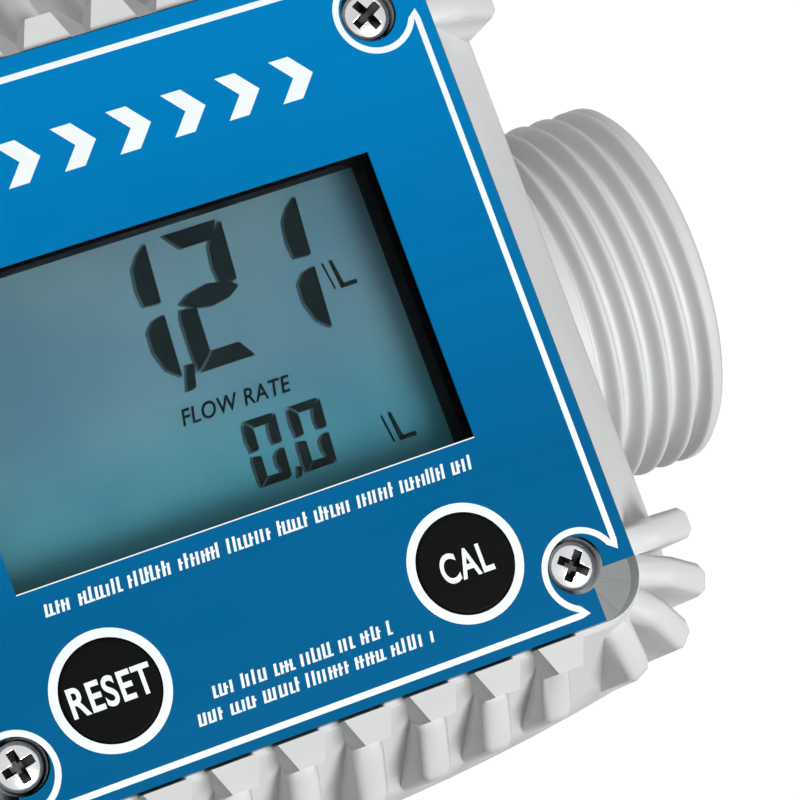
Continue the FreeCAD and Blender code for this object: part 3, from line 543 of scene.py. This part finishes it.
def build_label_print(materials):
    ink = materials["white_ink"]
    # The white ink draws the real print, and also the painted highlight under the window.
    for name, builder in (("label_border", label_border), ("button_rings", button_rings),
                          ("flow_chevrons", flow_marks), ("print_rows", print_rows),
                          ("window_highlight", window_highlight)):
        piece_from(name, builder, "housing", ink)


# Each button's word, node, body and the word's width.
BUTTON_WORDS = (("RESET", "reset_button", "reset_key", 6.7), ("CAL", "cal_button", "cal_key", 4.3))
BUTTON_WORD_TALL = 2.4
BUTTON_WORD_WEIGHT = 0.022


def build_lettering(materials):
    """The two buttons' function words, standing a hair above the caps they move with."""
    for text, node, body, wide in BUTTON_WORDS:
        centre, top = middle_mm(node), box_mm(node)[1].z
        word = flat_text(node, text, wide, BUTTON_WORD_TALL, BUTTON_WORD_WEIGHT)
        text_piece(node + "_lettering", word, (centre.x, centre.y, top), body,
                   materials["white_ink"])


# ---------------------------------------------------------------- display segments

# A digit's seven segments, from its own lower left corner; only those that light up are drawn.
SEGMENTS = {
    "a": ((1.1, 11.15), (5.55, 11.15), (4.75, 9.75), (2.2, 9.75)),
    "b": ((5.95, 10.95), (5.55, 6.15), (4.15, 6.25), (4.05, 7.6), (4.3, 9.2), (4.95, 10.15)),
    "c": ((5.45, 5.15), (5.1, 0.1), (4.1, 1.0), (3.65, 2.6), (3.7, 4.1), (4.35, 4.85)),
    "d": ((0.36, 0.0), (4.8, 0.0), (3.95, 1.35), (1.7, 1.35)),
    "e": ((0.12, 0.15), (1.47, 1.42), (1.65, 4.95), (0.35, 5.1), (0.1, 4.2), (0.0, 1.4)),
    "f": ((0.45, 6.0), (1.75, 6.1), (1.95, 9.45), (0.75, 10.75), (0.5, 9.9), (0.35, 8.0)),
    "g": ((0.55, 5.6), (1.4, 6.15), (3.2, 6.45), (4.9, 6.2), (5.5, 5.6), (4.5, 4.95),
          (3.0, 4.75), (1.4, 5.0)),
}
LIT = {"0": "abcdef", "1": "bc", "2": "abged"}
# The small unit mark, a painted shadow of its upright stroke to its left, and the decimal point.
UNIT = ((0.05, 0.0), (1.5, 0.0), (1.5, 0.36), (0.42, 0.36), (0.1, 2.4), (-0.16, 2.4))
UNIT_SHADOW_STROKE = ((-0.5, 0.1), (-0.36, 0.1), (-0.68, 2.35), (-0.82, 2.35))
POINT = ((0.1, -0.15), (0.85, -0.1), (1.35, 1.75), (0.7, 1.75))
# Each digit with its place; the total stands at full size, and the trip below it is smaller.
TOTAL = (("1", -5.0, 0.95), ("2", 1.45, 0.9), ("1", 7.9, 0.95))
TRIP = (("0", 3.0, -9.15), ("0", 6.85, -9.15))
TRIP_WIDE, TRIP_TALL = 0.52, 0.475
TRIP_POINT = (6.1, -9.25)
TRIP_POINT_SCALE = 0.4
UNIT_PLACES = ((14.75, 3.75), (14.95, -9.2))
CAPTION_PLACE = (3.5, -2.05)
CAPTION_WIDE, CAPTION_TALL = 9.4, 1.35
CAPTION_WEIGHT = 0.014
CAPTION_LEAN = 0.25
LETTER_SPACE = 1.08
# Heights above the glass, and how far a segment's shadow swells and falls to the left.
SHADOW_LIFT, SHADOW_THICK = 0.02, 0.015
SEGMENT_LIFT, SEGMENT_THICK = 0.055, 0.03
CAPTION_LIFT = 0.07
HALO = 0.1
SHADOW_SHIFT = -0.22


def moved(outline, x, y, wide=1.0, tall=1.0):
    return [(x + wide * u, y + tall * v) for u, v in outline]


def digit(text, x, y, wide=1.0, tall=1.0):
    return [moved(SEGMENTS[name], x, y, wide, tall) for name in LIT[text]]


def digit_outlines():
    """The total above and the trip below, each with its decimal point."""
    outlines = [outline for text, x, y in TOTAL for outline in digit(text, x, y)]
    outlines += [outline for text, x, y in TRIP
                 for outline in digit(text, x, y, TRIP_WIDE, TRIP_TALL)]
    return outlines + [POINT, moved(POINT, *TRIP_POINT, TRIP_POINT_SCALE, TRIP_POINT_SCALE)]


def unit_outlines():
    """The small unit mark behind each number, with the painted shadow of its upright stroke."""
    return [moved(outline, x, y) for x, y in UNIT_PLACES for outline in (UNIT, UNIT_SHADOW_STROKE)]


def swollen(outline, margin):
    """The outline pushed out from its own middle by about margin."""
    mid_x = sum(x for x, _ in outline) / len(outline)
    mid_y = sum(y for _, y in outline) / len(outline)
    grown = []
    for x, y in outline:
        reach = math.hypot(x - mid_x, y - mid_y)
        share = 1 + margin / max(reach, margin)
        grown.append((mid_x + (x - mid_x) * share, mid_y + (y - mid_y) * share))
    return grown


def flat_text(name, text, wide, tall, weight, lean=0.0):
    """A word as a thin mesh that fills a box of wide by tall, centred on the origin."""
    curve = bpy.data.curves.new(name, "FONT")
    curve.body = text
    curve.size = 1.0
    curve.shear = lean
    curve.offset = weight
    curve.space_character = LETTER_SPACE
    curve.extrude = 0.5
    maker = bpy.data.objects.new(name + "_maker", curve)
    bpy.context.scene.collection.objects.link(maker)
    bpy.context.view_layer.update()
    mesh = bpy.data.meshes.new_from_object(
        maker.evaluated_get(bpy.context.evaluated_depsgraph_get()))
    bpy.data.objects.remove(maker)
    low = [min(v.co[axis] for v in mesh.vertices) for axis in range(3)]
    high = [max(v.co[axis] for v in mesh.vertices) for axis in range(3)]
    middle = Vector([(a + b) / 2 for a, b in zip(low, high)])
    mesh.transform(Matrix.Diagonal((wide / (high[0] - low[0]), tall / (high[1] - low[1]),
                                    INK_THICK, 1)) @ Matrix.Translation(-middle))
    return mesh


def text_piece(name, mesh, place, body, material):
    """Put such a word down with its middle at place, in millimetres."""
    mesh.transform(Matrix.Translation(Vector(place)))
    mesh.transform(Matrix.Scale(MM, 4))
    word = bpy.data.objects.new(name, mesh)
    bpy.context.scene.collection.objects.link(word)
    mesh.materials.clear()
    mesh.materials.append(material)
    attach(word, body)


def segments(work):
    # The unit marks bring their painted shadow strokes, drawn in the same dark ink.
    for outline in digit_outlines() + unit_outlines():
        slab(work, outline, LCD_HIGH.z + SEGMENT_LIFT, SEGMENT_THICK)


def shadows(work):
    for outline in digit_outlines():
        slab(work, moved(swollen(outline, HALO), SHADOW_SHIFT, 0.0),
             LCD_HIGH.z + SHADOW_LIFT, SHADOW_THICK)


def build_display(materials):
    ink, shadow = materials["segment_ink"], materials["segment_shadow"]
    piece_from("display_segments", segments, "housing", ink)
    piece_from("display_shadows", shadows, "housing", shadow)
    words = flat_text("display_caption", "FLOW RATE", CAPTION_WIDE, CAPTION_TALL,
                      CAPTION_WEIGHT, CAPTION_LEAN)
    text_piece("display_caption", words, (*CAPTION_PLACE, LCD_HIGH.z + CAPTION_LIFT), "housing",
               ink)


# ---------------------------------------------------------------- cover screws

SCREW_CORNERS = ((1, 1), (-1, 1), (-1, -1), (1, -1))
HEAD_RADIUS = 1.95
HEAD_TALL = 1.25
HEAD_DOME = 0.5
DOME_STEPS = 10
SHANK_RADIUS = 1.2
SHANK_TIP = 1.6
TURNED_STEPS = 64
# The cross recess: height from the crown, reach and half width of its arms, from the top down.
CROSS_LEVELS = ((0.4, 1.5, 0.4), (-0.25, 1.28, 0.34), (-0.95, 0.5, 0.2))
FIRST_CROSS_TURN = 28
NEXT_CROSS_TURN = 37


def revolve_profile(work, centre, points):
    """A closed turned solid; points run from the axis at the top to the axis at the bottom."""
    rings = []
    for radius, height in points:
        if radius == 0:
            rings.append([work.verts.new(Vector((centre[0], centre[1], height)) * MM)])
            continue
        rings.append([work.verts.new(Vector((x, y, height)) * MM)
                      for x, y in arc(centre, radius, 0, 360, TURNED_STEPS)[:-1]])
    for upper, lower in zip(rings, rings[1:]):
        for index in range(TURNED_STEPS):
            after = (index + 1) % TURNED_STEPS
            if len(upper) == 1:
                work.faces.new((upper[0], lower[index], lower[after]))
            elif len(lower) == 1:
                work.faces.new((upper[index], lower[0], upper[after]))
            else:
                work.faces.new((upper[index], lower[index], lower[after], upper[after]))


def cross_cutter(name, centre, top, turn):
    """A tapered cross, to sink into a screw head."""
    mesh = bpy.data.meshes.new(name)
    work = bmesh.new()
    rings = []
    for height, arm, wide in CROSS_LEVELS:
        ring = []
        for quarter in range(4):
            spin = Matrix.Rotation(math.radians(turn + 90 * quarter), 2)
            for corner in ((arm, -wide), (arm, wide), (wide, wide)):
                x, y = spin @ Vector(corner)
                place = Vector((centre[0] + x, centre[1] + y, top + height))
                ring.append(work.verts.new(place * MM))
        rings.append(ring)
    work.faces.new(rings[0])
    work.faces.new(rings[-1])
    for upper, lower in zip(rings, rings[1:]):
        for index in range(len(upper)):
            after = (index + 1) % len(upper)
            work.faces.new((upper[index], lower[index], lower[after], upper[after]))
    bmesh.ops.recalc_face_normals(work, faces=work.faces)
    work.to_mesh(mesh)
    work.free()
    made = bpy.data.objects.new(name, mesh)
    bpy.context.scene.collection.objects.link(made)
    return made


def build_screws(materials):
    """Cross-head pan screws in place of the plain turned ones."""
    low, high = box_mm("cover_screws")
    reach_x = high.x - HEAD_RADIUS
    reach_y = high.y - HEAD_RADIUS
    crown = high.z
    seat = crown - HEAD_TALL
    for index, (side_x, side_y) in enumerate(SCREW_CORNERS):
        centre = (side_x * reach_x, side_y * reach_y)
        points = [(0, crown)]
        for step in range(1, DOME_STEPS + 1):
            turn = math.radians(90 * step / DOME_STEPS)
            points.append((HEAD_RADIUS * math.sin(turn), crown - HEAD_DOME * (1 - math.cos(turn))))
        points += [(HEAD_RADIUS, seat), (SHANK_RADIUS, seat),
                   (SHANK_RADIUS, low.z + SHANK_TIP), (0, low.z)]
        screw = piece_from(f"cover_screw_{index}",
                           lambda work: revolve_profile(work, centre, points),
                           "housing", materials["screw_steel"])
        # The cross recess faces take the darker steel, a painted shade.
        screw.data.materials.append(materials["recess_shade_steel"])
        cutter = cross_cutter(f"cross_{index}", centre, crown,
                              FIRST_CROSS_TURN + NEXT_CROSS_TURN * index)
        cutter.data.materials.append(materials["recess_shade_steel"])
        cutting = screw.modifiers.new("cross", "BOOLEAN")
        cutting.operation = "DIFFERENCE"
        cutting.solver = "EXACT"
        cutting.object = cutter
        cutting.material_mode = "TRANSFER"
        bpy.context.view_layer.update()
        mesh = bpy.data.meshes.new_from_object(
            screw.evaluated_get(bpy.context.evaluated_depsgraph_get()))
        screw.modifiers.clear()
        screw.data = mesh
        bpy.data.objects.remove(cutter)
        for polygon in mesh.polygons:
            polygon.use_smooth = polygon.material_index == 0
    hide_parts("cover_screws")


# ---------------------------------------------------------------- moulded shell and its threads

FLOW_HEIGHT = 20.0
# The port's thread, from its outer end at THREAD_END inwards; crests and roots are rounded.
THREAD_RADIUS = 16.62
THREAD_DEPTH = 1.48
THREAD_PITCH = 2.309
THREAD_END = 50.9
THREAD_RUN = 11.045
THREAD_FADE = 0.5
THREAD_PHASE = 0.7
CREST_SHARE = 0.12
FLANK_SHARE = 0.72
FLANK_EASE = 0.05
THREAD_AROUND = 220
THREAD_ALONG = 90
NECK = THREAD_RADIUS - THREAD_DEPTH
SLEEVE_WALL = 0.5
# Under the thread, the shell's own ring grooves shrink to this much less than the thread's roots.
NECK_CLEARANCE = 0.1
GROOVE_MARGIN = 0.05
# Edges of the shell that turn by less than this many degrees are shaded smooth.
SMOOTH_UNDER = 52
# Corners of the shell's mesh that lie closer than this, in metres, become one.
WELD = 1e-6


def thread_radius(along, turn):
    """Radius of a right-handed rounded thread, along millimetres in from its outer end."""
    depth = THREAD_DEPTH * min(1.0, along / THREAD_FADE, (THREAD_RUN - along) / THREAD_FADE)
    share = (along / THREAD_PITCH + turn + THREAD_PHASE) % 1.0
    # 0 is the crest's middle and 1 the root's, with short rounds at both.
    fall = 1 - abs(2 * share - 1)
    eased = min(1.0, max(0.0, (fall - CREST_SHARE) / FLANK_SHARE))
    eased = eased - math.sin(2 * math.pi * eased) * FLANK_EASE
    return THREAD_RADIUS - depth * eased


def thread_sleeve(work, side):
    """One port's thread: a tube whose outside is the helix, closed at both ends."""
    core = NECK - SLEEVE_WALL

    def ring_of(x, radius_at):
        ring = []
        for index in range(THREAD_AROUND):
            turn = index / THREAD_AROUND
            radius, angle = radius_at(turn), 2 * math.pi * turn
            place = Vector((x, radius * math.cos(angle), FLOW_HEIGHT + radius * math.sin(angle)))
            ring.append(work.verts.new(place * MM))
        return ring

    rings = []
    for step in range(THREAD_ALONG + 1):
        along = THREAD_RUN * step / THREAD_ALONG
        rings.append(ring_of(side * (THREAD_END - along),
                             lambda turn: thread_radius(along, side * turn)))
    for x in (side * (THREAD_END - THREAD_RUN), side * THREAD_END):
        rings.append(ring_of(x, lambda turn: core))
    for upper, lower in zip(rings, rings[1:] + rings[:1]):
        for index in range(THREAD_AROUND):
            after = (index + 1) % THREAD_AROUND
            work.faces.new((upper[index], lower[index], lower[after], upper[after]))


def build_shell(materials):
    """The meter body with smooth edges, and one running helix in place of ring grooves."""
    mesh = NODES["meter_body"].data.copy()
    mesh.name = "moulded_shell"
    work = bmesh.new()
    work.from_mesh(mesh)
    bmesh.ops.remove_doubles(work, verts=work.verts, dist=WELD)
    groove_low = THREAD_END - THREAD_RUN + GROOVE_MARGIN
    groove_high = THREAD_END - GROOVE_MARGIN
    for vertex in work.verts:
        x = abs(vertex.co.x) / MM
        offset = Vector((vertex.co.y, vertex.co.z - FLOW_HEIGHT * MM)) / MM
        if groove_low < x < groove_high and offset.length > NECK - GROOVE_MARGIN:
            offset *= (NECK - NECK_CLEARANCE) / offset.length
            vertex.co.y, vertex.co.z = offset.x * MM, (offset.y + FLOW_HEIGHT) * MM
    for edge in work.edges:
        edge.smooth = len(edge.link_faces) == 2 and \
            edge.calc_face_angle(0) < math.radians(SMOOTH_UNDER)
    for face in work.faces:
        face.smooth = True
    work.to_mesh(mesh)
    work.free()
    mesh.materials.clear()
    mesh.materials.append(materials["shell_plastic"])
    shell = bpy.data.objects.new("moulded_shell", mesh)
    bpy.context.scene.collection.objects.link(shell)
    weighted = shell.modifiers.new("face_weighted", "WEIGHTED_NORMAL")
    weighted.keep_sharp = True
    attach(shell, "housing")
    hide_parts("meter_body")
    for side, title in ((1, "outlet"), (-1, "inlet")):
        sleeve = piece_from(title + "_thread", lambda work: thread_sleeve(work, side),
                            "housing", materials["shell_plastic"])
        for polygon in sleeve.data.polygons:
            polygon.use_smooth = True


# ---------------------------------------------------------------- stage, light and camera

AMBIENT = 0.15
# The lamps' aim in metres, then each one's name, place and side in metres, and power in watts.
LAMP_TARGET = (0, 0, 0.03)
LAMPS = (("key", (0.31, -0.43, 0.96), 0.42, 11.3),
         ("back_fill", (-0.35, 1.0, 0.30), 0.6, 3.2))
# The floor's side and its gap under the part, in metres, and how much of it glows.
FLOOR_SIDE = 4.0
FLOOR_GAP = 0.0002
FLOOR_GLOW = 1.06
FLOOR_GLOW_SHARE = 0.93
# The camera's place and aim, the direction that is up in its picture, its lens and its sensor,
# then the nearest and farthest that it sees, in metres.
CAMERA_PLACE = (-75.26, -30.77, 327.79)
CAMERA_AIM = (14.5, -6.6, 58.0)
CAMERA_UP = (0.306, 0.934, 0.186)
CAMERA_LENS = 165.5
CAMERA_SENSOR = 36.0
CAMERA_CLIP = (0.01, 20.0)


def camera_share(made):
    """1 for rays that show the background: from the camera, a mirror or clear plastic."""
    path = add_node(made, "LightPath")
    first = add_node(made, "Math", operation="MAXIMUM")
    second = add_node(made, "Math", operation="MAXIMUM")
    link(made, path.outputs["Is Camera Ray"], first.inputs[0])
    link(made, path.outputs["Is Glossy Ray"], first.inputs[1])
    link(made, first.outputs["Value"], second.inputs[0])
    link(made, path.outputs["Is Transmission Ray"], second.inputs[1])
    return second.outputs["Value"]


def build_world():
    world = bpy.data.worlds.new("studio")
    bpy.context.scene.world = world
    world.use_nodes = True
    nodes = world.node_tree.nodes
    ambient = nodes["Background"]
    ambient.inputs["Color"].default_value = (1, 1, 1, 1)
    ambient.inputs["Strength"].default_value = AMBIENT
    white = nodes.new("ShaderNodeBackground")
    white.inputs["Color"].default_value = (1, 1, 1, 1)
    white.inputs["Strength"].default_value = 1.0
    mixed = nodes.new("ShaderNodeMixShader")
    world.node_tree.links.new(camera_share(world), mixed.inputs["Fac"])
    world.node_tree.links.new(ambient.outputs["Background"], mixed.inputs[1])
    world.node_tree.links.new(white.outputs["Background"], mixed.inputs[2])
    world.node_tree.links.new(mixed.outputs["Shader"], nodes["World Output"].inputs["Surface"])


def build_floor():
    """A floor under the flat back: white to the camera and to mirrors, with a faint shadow."""
    low = CAD_BOX[0]
    bpy.ops.mesh.primitive_plane_add(size=FLOOR_SIDE, location=(0, 0, low[2] - FLOOR_GAP))
    floor = bpy.context.object
    floor.name = "floor"
    made = new_material("floor_white", (0.32, 0.32, 0.32, 1), 0.9)
    glow = add_node(made, "Emission")
    glow.inputs["Strength"].default_value = FLOOR_GLOW
    share = add_node(made, "Math", operation="MULTIPLY")
    share.inputs[1].default_value = FLOOR_GLOW_SHARE
    link(made, camera_share(made), share.inputs[0])
    mixed = add_node(made, "MixShader")
    link(made, share.outputs["Value"], mixed.inputs["Fac"])
    link(made, shader_of(made).outputs["BSDF"], mixed.inputs[1])
    link(made, glow.outputs["Emission"], mixed.inputs[2])
    link(made, mixed.outputs["Shader"], made.node_tree.nodes["Material Output"].inputs["Surface"])
    floor.data.materials.append(made)


def softbox(name, place, aim, size, power):
    lamp = bpy.data.lights.new(name, "AREA")
    lamp.size = size
    lamp.energy = power
    made = bpy.data.objects.new(name, lamp)
    bpy.context.scene.collection.objects.link(made)
    made.location = place
    made.rotation_euler = (Vector(aim) - Vector(place)).to_track_quat("-Z", "Y").to_euler()


def build_lights():
    for name, place, size, power in LAMPS:
        softbox(name, place, LAMP_TARGET, size, power)


def build_camera():
    place = Vector(CAMERA_PLACE) * MM
    back = (place - Vector(CAMERA_AIM) * MM).normalized()
    right = Vector(CAMERA_UP).cross(back).normalized()
    upright = back.cross(right)
    turned = Matrix((right, upright, back)).transposed().to_4x4()
    camera = bpy.data.cameras.new("camera")
    camera.sensor_width = CAMERA_SENSOR
    camera.lens = CAMERA_LENS
    camera.clip_start, camera.clip_end = CAMERA_CLIP
    made = bpy.data.objects.new("camera", camera)
    bpy.context.scene.collection.objects.link(made)
    made.matrix_world = Matrix.Translation(place) @ turned
    bpy.context.scene.camera = made


# ---------------------------------------------------------------- everything together

bpy.context.scene.view_settings.view_transform = "Standard"
materials = make_materials()
dress_frame(materials)
build_label_print(materials)
build_lettering(materials)
build_display(materials)
build_screws(materials)
build_shell(materials)
build_world()
build_floor()
build_lights()
build_camera()
